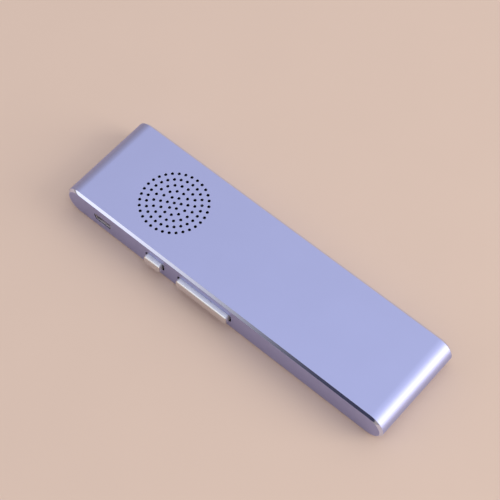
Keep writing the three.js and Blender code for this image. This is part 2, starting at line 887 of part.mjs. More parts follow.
// A leaf spring that carries the speaker's current: a foot on the board and a raised arm
function speakerContact(side) {
  const x = grilleX + speakerRadius - basketFlange;
  const y = side * yokeRadius;
  const rise = gasketBottom - basketWall - fitGap - boardTop;
  const foot = block(contactWidth * 2, contactWidth, contactThickness, x, y, boardTop);
  const postX = x + contactWidth - contactThickness / 2;
  const post = block(contactThickness, contactWidth, rise, postX, y, boardTop);
  const armLevel = boardTop + rise - contactThickness;
  const arm = block(contactWidth, contactWidth, contactThickness, x + contactWidth / 2, y, armLevel);
  return join(foot, post, arm);
}

function shellGroup() {
  const group = new THREE.Group();
  group.add(
    piece("back_housing", backHousing(), anodised),
    piece("front_panel", frontPanel(), panelGloss),
    piece("panel_adhesive", panelAdhesive(), rubber),
    piece("inner_frame", innerFrame(), blackPlastic),
    ...pillarPlaces.map((place, k) => piece(`frame_screw_${k + 1}`, frameScrew(place), steel)),
  );
  return group;
}

function boardGroup() {
  const group = new THREE.Group();
  const volumeUpX = rockerX - volumeSwitchSpacing / 2;
  const volumeDownX = rockerX + volumeSwitchSpacing / 2;
  const [talkA, talkB] = talkKeyPlaces;
  group.add(
    piece("main_board", mainBoard(), boardGreen),
    piece("usb_shell", usbShell(), steel),
    piece("usb_tongue", usbTongue(), blackPlastic),
    piece("power_switch_body", sideSwitchBody(powerKeyX), steel),
    piece("power_switch_plunger", sideSwitchPlunger(powerKeyX), whitePlastic),
    piece("volume_up_switch_body", sideSwitchBody(volumeUpX), steel),
    piece("volume_up_switch_plunger", sideSwitchPlunger(volumeUpX), whitePlastic),
    piece("volume_down_switch_body", sideSwitchBody(volumeDownX), steel),
    piece("volume_down_switch_plunger", sideSwitchPlunger(volumeDownX), whitePlastic),
    piece("talk_switch_a_body", talkSwitchBody(talkA), steel),
    piece("talk_switch_a_plunger", talkSwitchPlunger(talkA), whitePlastic),
    piece("talk_switch_b_body", talkSwitchBody(talkB), steel),
    piece("talk_switch_b_plunger", talkSwitchPlunger(talkB), whitePlastic),
    piece("microphone", microphoneCan(), steel),
    piece("microphone_boot", microphoneBoot(), rubber),
    piece("status_led", statusLamp(), whitePlastic),
    piece("light_pipe", lightPipe(), clearPlastic),
    piece("radio_shield", radioShield(), steel),
    piece("processor", processor(), chipBlack),
    piece("memory_chip", memoryChip(), chipBlack),
    piece("power_chip", powerChip(), chipBlack),
    piece("crystal", crystal(), steel),
    piece("antenna", antenna(), whitePlastic),
  );
  return group;
}

function batteryGroup() {
  const group = new THREE.Group();
  group.add(
    piece("battery_cell", batteryCell(), cellFoil),
    piece("battery_pad", batteryPad(), rubber),
    piece("battery_connector", batteryConnector(), whitePlastic),
    piece("battery_lead_red", batteryLead(1), redLead),
    piece("battery_lead_black", batteryLead(-1), rubber),
  );
  return group;
}

function keyGroup() {
  const group = new THREE.Group();
  const [talkA, talkB] = talkKeyPlaces;
  group.add(
    piece("power_key", sideKeyCap(powerKeyX, powerKeyLength), polished),
    piece("volume_rocker", volumeRocker(), polished),
    piece("talk_key_a", talkKey(talkA), polished),
    piece("talk_key_b", talkKey(talkB), polished),
  );
  return group;
}

function speakerGroup() {
  const group = new THREE.Group();
  group.add(
    piece("dust_mesh", dustMesh(), rubber),
    piece("speaker_gasket", speakerGasket(), rubber),
    piece("speaker_basket", speakerBasket(), blackPlastic),
    piece("speaker_yoke", speakerYoke(), steel),
    piece("speaker_magnet", speakerMagnet(), magnetIron),
    piece("speaker_top_plate", speakerTopPlate(), steel),
    piece("voice_coil", voiceCoil(), copper),
    piece("speaker_cone", speakerCone(), blackPlastic),
    piece("speaker_surround", speakerSurround(), rubber),
    piece("speaker_contact_a", speakerContact(1), copper),
    piece("speaker_contact_b", speakerContact(-1), copper),
  );
  return group;
}

const translator = new THREE.Group();
translator.add(shellGroup(), boardGroup(), batteryGroup(), keyGroup(), speakerGroup());

export default translator;
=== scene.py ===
# Handheld translator: the looks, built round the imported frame.
# Settings give lengths in metres and angles in degrees, and mm is one millimetre.
import bpy
import bmesh
import json
import math
from mathutils import Matrix, Vector


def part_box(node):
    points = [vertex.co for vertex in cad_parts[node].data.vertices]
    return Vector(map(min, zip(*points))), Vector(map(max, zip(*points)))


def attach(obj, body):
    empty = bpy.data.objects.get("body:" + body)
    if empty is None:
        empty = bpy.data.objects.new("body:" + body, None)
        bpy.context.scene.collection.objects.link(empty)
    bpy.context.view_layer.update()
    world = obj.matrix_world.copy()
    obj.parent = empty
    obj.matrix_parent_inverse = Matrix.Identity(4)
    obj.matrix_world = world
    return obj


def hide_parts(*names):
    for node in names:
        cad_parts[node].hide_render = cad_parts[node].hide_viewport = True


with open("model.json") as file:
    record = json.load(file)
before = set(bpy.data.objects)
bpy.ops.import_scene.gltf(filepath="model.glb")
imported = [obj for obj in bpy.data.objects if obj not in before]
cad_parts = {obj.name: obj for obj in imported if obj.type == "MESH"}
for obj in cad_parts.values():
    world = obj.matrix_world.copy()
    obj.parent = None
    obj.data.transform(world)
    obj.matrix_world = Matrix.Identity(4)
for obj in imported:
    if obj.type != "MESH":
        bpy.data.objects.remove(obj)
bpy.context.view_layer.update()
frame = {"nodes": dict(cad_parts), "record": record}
scene = bpy.context.scene
mm = 0.001
print("frame loaded:", len(frame["nodes"]), "nodes")


# Camera: a three-quarter view from above the key side, as the photograph has it
cameraSet = {
    "place": (0.17061, -0.20814, 0.48272),
    "turn": (30.223, -0.564, 40.696),
    "lens": 116.7,  # lens and sensor in millimetres
    "sensor": 36.0,
}


def makeCamera(settings):
    data = bpy.data.cameras.new("photoCamera")
    data.lens = settings["lens"]
    data.sensor_width = settings["sensor"]
    camera = bpy.data.objects.new("photoCamera", data)
    camera.location = settings["place"]
    camera.rotation_euler = [math.radians(angle) for angle in settings["turn"]]
    scene.collection.objects.link(camera)
    scene.camera = camera


makeCamera(cameraSet)
scene.view_settings.view_transform = "Standard"
print("camera placed")


# Sockets and nodes, for shaders and for geometry alike
def plug(tree, slot, value):
    if isinstance(value, Wire):
        tree.links.new(value.socket, slot)
    elif slot.type == "RGBA" and len(value) == 3:
        slot.default_value = (*value, 1)
    else:
        slot.default_value = value


class Wire:
    # One output socket, so that sums of sockets read as plain sums.
    def __init__(self, tree, socket):
        self.tree = tree
        self.socket = socket

    def maths(self, operation, first, second=0.0):
        node = self.tree.nodes.new("ShaderNodeMath")
        node.operation = operation
        plug(self.tree, node.inputs[0], first)
        plug(self.tree, node.inputs[1], second)
        return Wire(self.tree, node.outputs[0])

    def __add__(self, other):
        return self.maths("ADD", self, other)

    def __radd__(self, other):
        return self.maths("ADD", other, self)

    def __sub__(self, other):
        return self.maths("SUBTRACT", self, other)

    def __rsub__(self, other):
        return self.maths("SUBTRACT", other, self)

    def __mul__(self, other):
        return self.maths("MULTIPLY", self, other)

    def __rmul__(self, other):
        return self.maths("MULTIPLY", other, self)

    def wave(self):
        return self.maths("SINE", self)


class Graph:
    # A node tree that is filled from plain settings and values.
    def __init__(self, tree):
        self.tree = tree

    def node(self, kind, settings=None, values=None):
        made = self.tree.nodes.new(kind)
        for key, value in (settings or {}).items():
            if key == "stops":
                setStops(made, value)
            else:
                setattr(made, key, value)
        for key, value in (values or {}).items():
            plug(self.tree, made.inputs[key], value)
        return made

    def wire(self, kind, settings=None, values=None, output=0):
        return Wire(self.tree, self.node(kind, settings, values).outputs[output])

    def axes(self, place):
        parts = self.node("ShaderNodeSeparateXYZ", values={"Vector": place})
        return [Wire(self.tree, parts.outputs[axis]) for axis in "XYZ"]


def setStops(ramp, stops):
    elements = ramp.color_ramp.elements
    while len(elements) < len(stops):
        elements.new(1)
    for element, (place, shade) in zip(elements, stops):
        element.position = place
        element.color = (*shade, 1)


# Materials
def finish(name, color, roughness, metallic, detail, **fixed):
    # Every finish has its own surface detail; fixed values go on the shader's own sockets.
    made = bpy.data.materials.new(name)
    made.use_nodes = True
    graph = Graph(made.node_tree)
    shader = made.node_tree.nodes["Principled BSDF"]
    shader.inputs["Base Color"].default_value = (*color, 1)
    shader.inputs["Roughness"].default_value = roughness
    shader.inputs["Metallic"].default_value = metallic
    for key, value in fixed.items():
        shader.inputs[key.replace("_", " ")].default_value = value
    detail(graph, shader, color, roughness)
    return made


def objectPlace(graph):
    return graph.wire("ShaderNodeTexCoord", output="Object")


def stretched(graph, place, scale):
    return graph.wire("ShaderNodeMapping", values={"Vector": place, "Scale": scale})


def noise(graph, place, settings):
    return graph.wire("ShaderNodeTexNoise", {"noise_dimensions": "3D"}, {"Vector": place, **settings})


def toned(color, share):
    return tuple(part * share for part in color)


def shadeMix(graph, amount, first, second):
    # The colour sockets go by number, because the node gives every type's sockets the same names.
    values = {"Factor": amount, 6: first, 7: second}
    return graph.wire("ShaderNodeMix", {"data_type": "RGBA"}, values, output=2)


def setColor(graph, shader, amount, color, shades):
    # The finish's own colour, times the first shade where the amount is 0 and the second where it is 1
    first, second = (toned(color, share) for share in shades)
    plug(graph.tree, shader.inputs["Base Color"], shadeMix(graph, amount, first, second))


def setRoughness(graph, shader, amount, roughness, spread):
    # The spread is added to the finish's own roughness:
    # its first value where the amount is 0, and its second where it is 1.
    low, high = spread
    plug(graph.tree, shader.inputs["Roughness"], amount * (high - low) + (roughness + low))


def setBump(graph, shader, height, bump):
    values = {"Height": height, **bump}
    plug(graph.tree, shader.inputs["Normal"], graph.wire("ShaderNodeBump", values=values))


# Blasted and anodised aluminium: an even satin with a very fine grain
anodisedGrain = {
    "grain": {"Scale": 5200, "Detail": 2, "Roughness": 0.6},
    "cloud": {"Scale": 55},
    "shades": (0.975, 1.025),
    "spread": (-0.03, 0.03),
    "bump": {"Strength": 0.12, "Distance": 0.02 * mm},
}


def anodisedDetail(graph, shader, color, roughness):
    place = objectPlace(graph)
    grain = noise(graph, place, anodisedGrain["grain"])
    setColor(graph, shader, noise(graph, place, anodisedGrain["cloud"]), color, anodisedGrain["shades"])
    setRoughness(graph, shader, grain, roughness, anodisedGrain["spread"])
    setBump(graph, shader, grain, anodisedGrain["bump"])


# Cut and polished edges: nearly a mirror, with faint marks along the cut
cutMarks = {
    "stretch": (300, 9000, 9000),
    "marks": {"Scale": 1, "Detail": 2, "Roughness": 0.6},
    "spread": (0, 0.04),
    "bump": {"Strength": 0.02, "Distance": 0.002 * mm},
}


def brightCutDetail(graph, shader, color, roughness):
    place = stretched(graph, objectPlace(graph), cutMarks["stretch"])
    marks = noise(graph, place, cutMarks["marks"])
    setRoughness(graph, shader, marks, roughness, cutMarks["spread"])
    setBump(graph, shader, marks, cutMarks["bump"])


# Brushed along the stick, as the side keys are
brushedStreaks = {
    "stretch": (160, 7000, 7000),
    "streaks": {"Scale": 1, "Detail": 3, "Roughness": 0.6},
    "shades": (0.9, 1.05),
    "spread": (-0.04, 0.06),
    "bump": {"Strength": 0.1, "Distance": 0.01 * mm},
}


def brushedDetail(graph, shader, color, roughness):
    place = stretched(graph, objectPlace(graph), brushedStreaks["stretch"])
    streaks = noise(graph, place, brushedStreaks["streaks"])
    setColor(graph, shader, streaks, color, brushedStreaks["shades"])
    setRoughness(graph, shader, streaks, roughness, brushedStreaks["spread"])
    setBump(graph, shader, streaks, brushedStreaks["bump"])


# Moulded plastic, rubber, resin and lacquer, with a fine matt grain
mouldedGrain = {
    "grain": {"Scale": 3000, "Detail": 3, "Roughness": 0.6},
    "cloud": {"Scale": 150},
    "shades": (0.9, 1.1),
    "spread": (-0.05, 0.05),
    "bump": {"Strength": 0.15, "Distance": 0.03 * mm},
}


def mouldedDetail(graph, shader, color, roughness):
    place = objectPlace(graph)
    grain = noise(graph, place, mouldedGrain["grain"])
    setColor(graph, shader, noise(graph, place, mouldedGrain["cloud"]), color, mouldedGrain["shades"])
    setRoughness(graph, shader, grain, roughness, mouldedGrain["spread"])
    setBump(graph, shader, grain, mouldedGrain["bump"])


# A glossy panel: even, with a trace of fine dust in its gloss
glossFilm = {
    "film": {"Scale": 220, "Detail": 3, "Roughness": 0.6},
    "shades": (0.85, 1.15),
    "spread": (0, 0.04),
}


def glossDetail(graph, shader, color, roughness):
    film = noise(graph, objectPlace(graph), glossFilm["film"])
    setColor(graph, shader, film, color, glossFilm["shades"])
    setRoughness(graph, shader, film, roughness, glossFilm["spread"])


# Plated, stamped or drilled metal
platedGrain = {
    "grain": {"Scale": 1800, "Detail": 3, "Roughness": 0.6},
    "shades": (0.85, 1.05),
    "spread": (-0.06, 0.08),
    "bump": {"Strength": 0.1, "Distance": 0.02 * mm},
}


def platedDetail(graph, shader, color, roughness):
    grain = noise(graph, objectPlace(graph), platedGrain["grain"])
    setColor(graph, shader, grain, color, platedGrain["shades"])
    setRoughness(graph, shader, grain, roughness, platedGrain["spread"])
    setBump(graph, shader, grain, platedGrain["bump"])


# Woven dust cloth behind the grille: waves that cross each other
clothWeave = {
    "radiansPerMetre": 25000,
    "shades": (0.4, 1.5),
    "bump": {"Strength": 0.6, "Distance": 0.04 * mm},
}


def clothDetail(graph, shader, color, roughness):
    across, along = graph.axes(objectPlace(graph))[:2]
    rate = clothWeave["radiansPerMetre"]
    threads = (across * rate).wave() * (along * rate).wave() * 0.5 + 0.5  # from 0 to 1
    setColor(graph, shader, threads, color, clothWeave["shades"])
    setBump(graph, shader, threads, clothWeave["bump"])


# Turned rings round a talk key's middle
turnedRings = {
    "radiansPerMetre": 60000,
    "waveShare": 0.5,
    "marks": {"Scale": 900},
    "spread": (0, 0.05),
    "bump": {"Strength": 0.25, "Distance": 0.008 * mm},
}


def turnedDetail(middle):
    def detail(graph, shader, color, roughness):
        place = objectPlace(graph)
        shifted = graph.wire("ShaderNodeVectorMath", {"operation": "SUBTRACT"}, {0: place, 1: middle})
        reach = graph.wire("ShaderNodeVectorMath", {"operation": "LENGTH"}, {0: shifted}, "Value")
        waves = (reach * turnedRings["radiansPerMetre"]).wave() * turnedRings["waveShare"]
        rings = waves + noise(graph, place, turnedRings["marks"])
        setRoughness(graph, shader, rings, roughness, turnedRings["spread"])
        setBump(graph, shader, rings, turnedRings["bump"])

    return detail


# Each finish: its name, colour, roughness, metallic, and the function of its surface detail
lavender = (0.43, 0.456, 0.745)
keySilver = (0.88, 0.9, 0.97)
finishes = {
    "anodised_shell": finish("anodisedSatin", lavender, 0.5, 1.0, anodisedDetail),
    "bright_key": finish("brushedKey", keySilver, 0.5, 1.0, brushedDetail),
    "gloss_panel": finish("glossPanel", (0.012, 0.013, 0.016), 0.04, 0.0, glossDetail, Coat_Weight=0.6),
    "black_plastic": finish("blackMoulding", (0.02, 0.02, 0.022), 0.55, 0.0, mouldedDetail),
    "white_plastic": finish("whiteMoulding", (0.78, 0.78, 0.74), 0.45, 0.0, mouldedDetail),
    "board_green": finish("solderMask", (0.02, 0.12, 0.05), 0.4, 0.0, mouldedDetail, Coat_Weight=0.4),
    "chip_black": finish("chipResin", (0.022, 0.022, 0.025), 0.6, 0.0, mouldedDetail),
    "steel": finish("platedSteel", (0.6, 0.61, 0.63), 0.28, 1.0, platedDetail),
    "copper": finish("brightCopper", (0.85, 0.5, 0.3), 0.3, 1.0, platedDetail),
    "rubber": finish("softRubber", (0.02, 0.02, 0.02), 0.8, 0.0, mouldedDetail),
    "cell_foil": finish("cellFoil", (0.55, 0.56, 0.58), 0.35, 1.0, platedDetail),
    "magnet": finish("magnetPlating", (0.3, 0.3, 0.32), 0.3, 1.0, platedDetail),
    "clear_plastic": finish(
        "clearMoulding", (0.85, 0.88, 0.9), 0.1, 0.0, mouldedDetail, Transmission_Weight=0.7),
    "red_lead": finish("redInsulation", (0.4, 0.02, 0.015), 0.4, 0.0, mouldedDetail),
    "black_lead": finish("blackInsulation", (0.02, 0.02, 0.02), 0.4, 0.0, mouldedDetail),
}
brightCut = finish("brightCutEdge", (0.71, 0.765, 1.0), 0.07, 1.0, brightCutDetail)
keyFace = finish("polishedKeyFace", (0.8, 0.785, 0.81), 0.14, 1.0, brightCutDetail)
# Walls of holes, slots, pillars and the hollow: the shell's colour at 0.15 of itself, painted shade for
# these recesses
paintedShadeWall = finish("drilledWallPaintedShade", toned(lavender, 0.15), 0.5, 1.0, platedDetail)
dustCloth = finish("dustCloth", (0.006, 0.007, 0.02), 0.85, 0.0, clothDetail)
socketSteel = finish("socketSteel", (0.82, 0.82, 0.9), 0.35, 1.0, platedDetail)
tonguePlastic = finish("tongueMoulding", (0.66, 0.65, 0.76), 0.5, 0.0, mouldedDetail)
print("finishes made:", len(bpy.data.materials))


# Outlines, as lists of two numbers
def arc(centre, radius, start, stop, steps):
    turn = (stop - start) / steps
    angles = [start + turn * k for k in range(steps + 1)]
    return [(centre[0] + radius * math.cos(a), centre[1] + radius * math.sin(a)) for a in angles]


def roundedOutline(length, width, corner, steps=8):
    x = length / 2 - corner
    y = width / 2 - corner
    quarter = math.pi / 2
    points = []
    for k, centre in enumerate(((x, y), (-x, y), (-x, -y), (x, -y))):
        points += arc(centre, corner, quarter * k, quarter * (k + 1), steps)
    return points


def stadiumOutline(length, height, steps, support):
    # A narrow strip beside each round end keeps the long flats truly flat when shaded.
    r = height / 2
    x = length / 2 - r
    half = math.pi / 2
    right = arc((x, 0), r, -half, half, steps * 2)
    left = arc((-x, 0), r, half, half * 3, steps * 2)
    return right + [(x - support, r), (support - x, r)] + left + [(support - x, -r), (x - support, -r)]


def socketOutline(width, height, taper):
    x = width / 2
    y = height / 2
    return [(x, 0), (x, y), (-x, y), (-x, 0), (taper - x, -y), (x - taper, -y)]


def chamferPath(chamfer, edgeRound, level):
    # (inset, level) pairs of a chamfer below the given level, with a tiny round at both its corners
    reach = edgeRound * math.tan(math.pi / 8)
    diagonal = reach / math.sqrt(2)
    low = (0, level - chamfer - reach)
    high = (diagonal, level - chamfer + diagonal)
    far = (chamfer - diagonal, level - diagonal)
    top = (chamfer + reach, level)
    return [low, bend(low, (0, level - chamfer), high), high, far, bend(far, (chamfer, level), top), top]


def bend(start, corner, stop):
    # The middle of a small round that runs from start to stop past the corner
    return tuple((a + 2 * b + c) / 4 for a, b, c in zip(start, corner, stop))


# Meshes from rings of points
def meshObject(name, bm, materials):
    mesh = bpy.data.meshes.new(name)
    bm.to_mesh(mesh)
    bm.free()
    for material in materials:
        mesh.materials.append(material)
    made = bpy.data.objects.new(name, mesh)
    scene.collection.objects.link(made)
    return made


def ringsObject(name, rings, materials, slots=None):
    # Rings of equal count are skinned one to the next and closed at both ends.
    # A band takes the slot of its first ring, and the last end the last slot.
    bm = bmesh.new()
    loops = [[bm.verts.new(point) for point in ring] for ring in rings]
    count = len(loops[0])
    slots = slots or [0] * len(loops)
    for low, high, slot in zip(loops, loops[1:], slots):
        for k in range(count):
            after = (k + 1) % count
            bm.faces.new((low[k], low[after], high[after], high[k])).material_index = slot
    bm.faces.new(list(reversed(loops[0])))
    bm.faces.new(loops[-1]).material_index = slots[-1]
    bmesh.ops.recalc_face_normals(bm, faces=bm.faces)
    return meshObject(name, bm, materials)


def sideRing(outline, x, y, z):
    return [(x + a, y, z + b) for a, b in outline]


def flatRing(outline, x, y, z):
    return [(x + a, y + b, z) for a, b in outline]


def turnedObject(name, profile, centre, materials, sides=96):
    # Turns a list of (radius, level) round an upright axis; it starts and ends on the axis.
    bm = bmesh.new()
    spokes = []
    for k in range(sides):
        angle = math.tau * k / sides
        x, y = math.cos(angle), math.sin(angle)
        spokes.append([bm.verts.new((centre[0] + r * x, centre[1] + r * y, z)) for r, z in profile[1:-1]])
    first = bm.verts.new((*centre, profile[0][1]))
    last = bm.verts.new((*centre, profile[-1][1]))
    for k in range(sides):
        here, there = spokes[k], spokes[(k + 1) % sides]
        bm.faces.new((first, there[0], here[0]))
        bm.faces.new((last, here[-1], there[-1]))
        for j in range(len(here) - 1):
            bm.faces.new((here[j], there[j], there[j + 1], here[j + 1]))
    bmesh.ops.recalc_face_normals(bm, faces=bm.faces)
    return meshObject(name, bm, materials)


# Modifiers are always settled into a plain mesh
def settle(made):
    bpy.context.view_layer.update()
    evaluated = made.evaluated_get(bpy.context.evaluated_depsgraph_get())
    mesh = bpy.data.meshes.new_from_object(evaluated)
    made.modifiers.clear()
    made.data = mesh


def combine(base, tool, operation):
    modifier = base.modifiers.new("combine", "BOOLEAN")
    modifier.object = tool
    modifier.operation = operation
    modifier.solver = "EXACT"
    modifier.material_mode = "TRANSFER"
    settle(base)
    bpy.data.objects.remove(tool)


def cutAway(base, *tools):
    for tool in tools:
        combine(base, tool, "DIFFERENCE")


def fuse(base, tool):
    combine(base, tool, "UNION")


def smoothShade(made, sharpAngle=28):
    # Welds what the cuts left, and shades smooth all edges that turn by less than the sharp angle.
    weld = 0.0005 * mm
    bm = bmesh.new()
    bm.from_mesh(made.data)
    bmesh.ops.remove_doubles(bm, verts=bm.verts, dist=weld)
    bmesh.ops.dissolve_degenerate(bm, edges=bm.edges, dist=weld)
    bm.to_mesh(made.data)
    bm.free()
    made.data.polygons.foreach_set("use_smooth", [True] * len(made.data.polygons))
    made.data.set_sharp_from_angle(angle=math.radians(sharpAngle))
    weighted = made.modifiers.new("weighted", "WEIGHTED_NORMAL")
    weighted.keep_sharp = True
    settle(made)


def standFor(made, body, slotName, *nodes):
    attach(made, body)
    if nodes:
        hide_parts(*nodes)


def middleOf(node):
    low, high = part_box(node)
    return (low + high) / 2


# Geometry Nodes: what repeats is a field of copies on points
class Field:
    def __init__(self, name, sizes):
        # sizes: label -> (socket type, value)
        self.tree = bpy.data.node_groups.new(name, "GeometryNodeTree")
        self.values = {}
        self.tree.interface.new_socket("Points", in_out="INPUT", socket_type="NodeSocketGeometry")
        for label, (kind, value) in sizes.items():
            made = self.tree.interface.new_socket(label, in_out="INPUT", socket_type=kind)
            self.values[made.identifier] = value
        self.tree.interface.new_socket("Mesh", in_out="OUTPUT", socket_type="NodeSocketGeometry")
        self.graph = Graph(self.tree)
        self.given = self.tree.nodes.new("NodeGroupInput")

    def size(self, label):
        return Wire(self.tree, self.given.outputs[label])

    def build(self, name, points, copies, materialLabel):
        # Copies end as real, finished geometry on an object of their own.
        real = self.graph.wire("GeometryNodeRealizeInstances", values={"Geometry": copies})
        values = {"Geometry": real, "Material": self.size(materialLabel)}
        finished = self.graph.wire("GeometryNodeSetMaterial", values=values)
        plug(self.tree, self.tree.nodes.new("NodeGroupOutput").inputs[0], finished)
        mesh = bpy.data.meshes.new(name)
        mesh.from_pydata(points, [], [])
        made = bpy.data.objects.new(name, mesh)
        modifier = made.modifiers.new(name, "NODES")
        modifier.node_group = self.tree
        for identifier, value in self.values.items():
            modifier[identifier] = value
        scene.collection.objects.link(made)
        settle(made)
        return made


# The shell
shell = {
    "chamfer": 0.9 * mm,
    "edgeRound": 0.12 * mm,
    "arcSteps": 40,
    "support": 0.25 * mm,
    "sideWall": 1.5 * mm,
    "endWall": 1.6 * mm,
    "backWall": 1.2 * mm,
    "frontLip": 1.2 * mm,
    "hollowSteps": 10,
    "fitGap": 0.3 * mm,
    "slotFlare": 0.04 * mm,
    "pillarRadius": 1.8 * mm,
    "boreRadius": 0.9 * mm,
    "boreDepth": 3.3 * mm,
    "postSides": 32,
    "overrun": 2 * mm,
}
shellLow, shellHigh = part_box("back_housing")
bodyLength, bodyWidth, bodyThickness = shellHigh - shellLow
keySide = shellLow.y
backInside = bodyThickness - shell["backWall"]
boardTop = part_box("main_board")[1].z


def shellSkin():
    half = bodyWidth / 2
    path = chamferPath(shell["chamfer"], shell["edgeRound"], half)
    across = [(inset, -y) for inset, y in reversed(path)] + path
    rings = []
    for inset, y in across:
        length, thickness = bodyLength - 2 * inset, bodyThickness - 2 * inset
        outline = stadiumOutline(length, thickness, shell["arcSteps"], shell["support"])
        rings.append(sideRing(outline, 0, y, bodyThickness / 2))
    # Only the chamfer's own flat goes in by more than half its width, and it takes the bright cut.
    wide = shell["chamfer"] / 2
    slots = [1 if abs(after[0] - here[0]) > wide else 0 for here, after in zip(across, across[1:])]
    return ringsObject("shell_body", rings, [finishes["anodised_shell"], brightCut], slots + [0])


def hollowTool():
    height = backInside - shell["frontLip"]
    length = bodyLength - 2 * shell["endWall"]
    outline = stadiumOutline(length, height, shell["hollowSteps"], shell["support"])
    reach = bodyWidth / 2 - shell["sideWall"]
    middle = shell["frontLip"] + height / 2
    return ringsObject("hollow", [sideRing(outline, 0, y, middle) for y in (-reach, reach)], [paintedShadeWall])


def windowTool():
    low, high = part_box("front_panel")
    length = high.x - low.x + 2 * shell["fitGap"]
    width = high.y - low.y + 2 * shell["fitGap"]
    corner = frontPanel["corner"] + shell["fitGap"]
    flare = shell["slotFlare"]
    top = shell["frontLip"] + shell["fitGap"]
    rings = []
    for grow, z in ((flare, -shell["overrun"]), (flare, 0), (0, flare), (0, top)):
        outline = roundedOutline(length + 2 * grow, width + 2 * grow, corner + grow)
        rings.append(flatRing(outline, 0, 0, z))
    return ringsObject("window", rings, [paintedShadeWall])


def slotTool(name, outlineAt, x, z):
    # outlineAt(grow) gives the slot's outline; its mouth is eased a little.
    flare = shell["slotFlare"]
    inner = keySide + shell["sideWall"] + shell["fitGap"]
    levels = ((0, inner), (0, keySide + flare), (flare, keySide), (flare, keySide - shell["overrun"]))
    rings = [sideRing(outlineAt(grow), x, y, z) for grow, y in levels]
    # The slot's inside takes the darkened wall, painted shade; its eased mouth takes the shell's finish
    return ringsObject(name, rings, [paintedShadeWall, finishes["anodised_shell"]], [0, 1, 1, 1])


def keySlotTool(key):
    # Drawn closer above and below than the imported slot, by the trim: the photograph shows no gap there.
    length, height = capSize(key)
    above = sideKeys["gap"] - sideKeys["slotTrim"]

    def outlineAt(grow):
        longer = 2 * (sideKeys["endGap"] + grow)
        return roundedOutline(length + longer, height + 2 * (above + grow), sideKeys["slotCorner"] + grow)

    middle = middleOf(key)
    return slotTool("slot_" + key, outlineAt, middle.x, middle.z)


def socketSlotTool():
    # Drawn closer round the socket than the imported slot,
    # whose solids keep the shell's fit gap between them.
    low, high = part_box("usb_shell")
    middle = middleOf("usb_shell")

    def outlineAt(grow):
        more = 2 * (socket["gap"] + grow)
        return socketOutline(high.x - low.x + more, high.z - low.z + more, socket["taper"])

    return slotTool("slot_socket", outlineAt, middle.x, middle.z)


# The drilled grille: one hole in the middle and rings of holes round it
grille = {
    "ringStep": 2.39 * mm,
    "holeRadius": 0.55 * mm,
    "mouth": 0.03 * mm,
    "counts": (1, 6, 12, 18, 26, 32),
    "turnShares": (0, 0.5, 0, 0.5, 0.5, 0),
    "sides": 28,
}


def grilleTool(name, lowRadius, highRadius, lowLevel, highLevel, material):
    field = Field(name, {
        "Ring Step": ("NodeSocketFloat", grille["ringStep"]),
        "Low Radius": ("NodeSocketFloat", lowRadius),
        "High Radius": ("NodeSocketFloat", highRadius),
        "Depth": ("NodeSocketFloat", highLevel - lowLevel),
        "Sides": ("NodeSocketInt", grille["sides"]),
        "Finish": ("NodeSocketMaterial", material),
    })
    graph = field.graph
    drill = graph.wire("GeometryNodeMeshCone", values={
        "Vertices": field.size("Sides"),
        "Radius Top": field.size("High Radius"),
        "Radius Bottom": field.size("Low Radius"),
        "Depth": field.size("Depth"),
    })
    joined = graph.node("GeometryNodeJoinGeometry")
    for ring, (count, share) in enumerate(zip(grille["counts"], grille["turnShares"])):
        if ring:
            values = {"Vertices": count, "Radius": field.size("Ring Step") * ring}
            points = graph.wire("GeometryNodeMeshCircle", values=values)
        else:
            points = graph.wire("GeometryNodeMeshLine", values={"Count": count})
        turn = (0, 0, share * math.tau / count)
        turned = graph.wire("GeometryNodeTransform", values={"Geometry": points, "Rotation": turn})
        plug(field.tree, joined.inputs[0], turned)
    values = {"Points": Wire(field.tree, joined.outputs[0]), "Instance": drill}
    copies = graph.wire("GeometryNodeInstanceOnPoints", values=values)
    made = field.build(name, [(0, 0, 0)], copies, "Finish")
    middle = middleOf("dust_mesh")
    made.data.transform(Matrix.Translation((middle.x, middle.y, lowLevel)))
    return made


def throughDrills():
    over = shell["overrun"]
    radius = grille["holeRadius"]
    return grilleTool("grille_drills", radius, radius, backInside - over, bodyThickness + over, paintedShadeWall)


def mouthDrills():
    # Eases each hole's edge at forty-five degrees.
    mouth = grille["mouth"]
    lowRadius = grille["holeRadius"] - mouth
    highRadius = grille["holeRadius"] + 2 * mouth
    low, high = bodyThickness - 2 * mouth, bodyThickness + mouth
    return grilleTool("grille_mouths", lowRadius, highRadius, low, high, finishes["anodised_shell"])


# Screws and the pillars that take them stand on the same six points
screwNodes = ["frame_screw_%d" % k for k in range(1, 7)]
screw = {
    "headRadius": 1.2 * mm,
    "headHeight": 0.6 * mm,
    "headRound": 0.12 * mm,
    "coreRadius": 0.46 * mm,
    "threadRadius": 0.6 * mm,
    "threadPitch": 0.4 * mm,
    "slotWidth": 0.35 * mm,
    "slotLength": 1.3 * mm,
    "slotDepth": 0.35 * mm,
    "slotCornerShare": 0.25,
    "slotSteps": 2,
    "sides": 24,
    "sharpAngle": 35,
}


def postField(name, radius, low, high):
    field = Field(name, {
        "Radius": ("NodeSocketFloat", radius),
        "Height": ("NodeSocketFloat", high - low),
        "Finish": ("NodeSocketMaterial", paintedShadeWall),
    })
    post = field.graph.wire("GeometryNodeMeshCylinder", values={
        "Vertices": shell["postSides"],
        "Radius": field.size("Radius"),
        "Depth": field.size("Height"),
    })
    values = {"Points": field.size("Points"), "Instance": post}
    copies = field.graph.wire("GeometryNodeInstanceOnPoints", values=values)
    points = [(middleOf(node).x, middleOf(node).y, (low + high) / 2) for node in screwNodes]
    return field.build(name, points, copies, "Finish")


